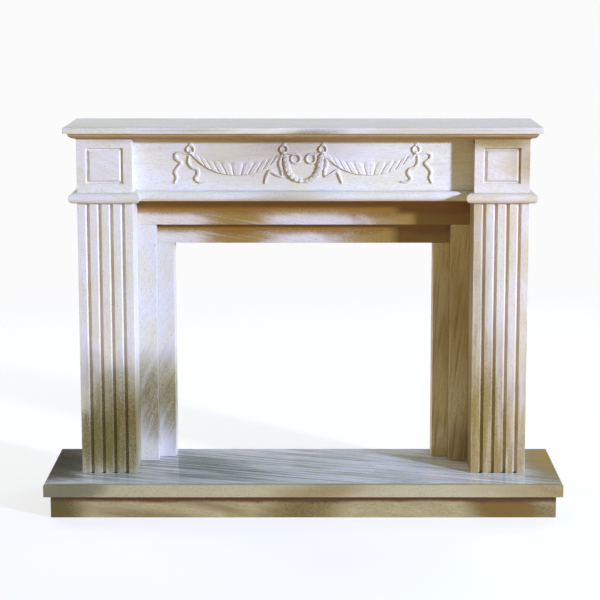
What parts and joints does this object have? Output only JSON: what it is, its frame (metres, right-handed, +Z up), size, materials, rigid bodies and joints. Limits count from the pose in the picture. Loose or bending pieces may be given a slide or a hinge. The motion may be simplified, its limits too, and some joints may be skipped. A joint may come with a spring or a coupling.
{
  "type": "fireplace mantel",
  "caption": "Marble fireplace surround with fluted pilasters, a frieze carved with garlands and bows, a moulded shelf and a raised hearth, framing an open firebox.",
  "frame": {"origin": "on the floor, at the middle of the hearth's length and depth", "axes": "+X to the right of a person facing the fireplace, +Y towards the wall behind it, +Z up"},
  "size_m": [1.64, 0.42, 1.232],
  "materials": {
    "honed_marble": "honed cream marble with ochre veining",
    "polished_marble": "polished cream marble with long pale streaks"
  },
  "bodies": {
    "root": {"hearth_plinth": "honed_marble", "hearth_slab": "polished_marble", "left_pilaster": "honed_marble", "right_pilaster": "honed_marble", "left_capital": "honed_marble", "right_capital": "honed_marble", "left_corner_block": "honed_marble", "right_corner_block": "honed_marble", "carved_frieze": "honed_marble", "bed_moulding": "honed_marble", "mantelshelf": "polished_marble", "left_outer_jamb": "honed_marble", "right_outer_jamb": "honed_marble", "outer_lintel": "honed_marble", "left_inner_jamb": "honed_marble", "right_inner_jamb": "honed_marble", "inner_lintel": "honed_marble"}
  },
  "joints": []
}
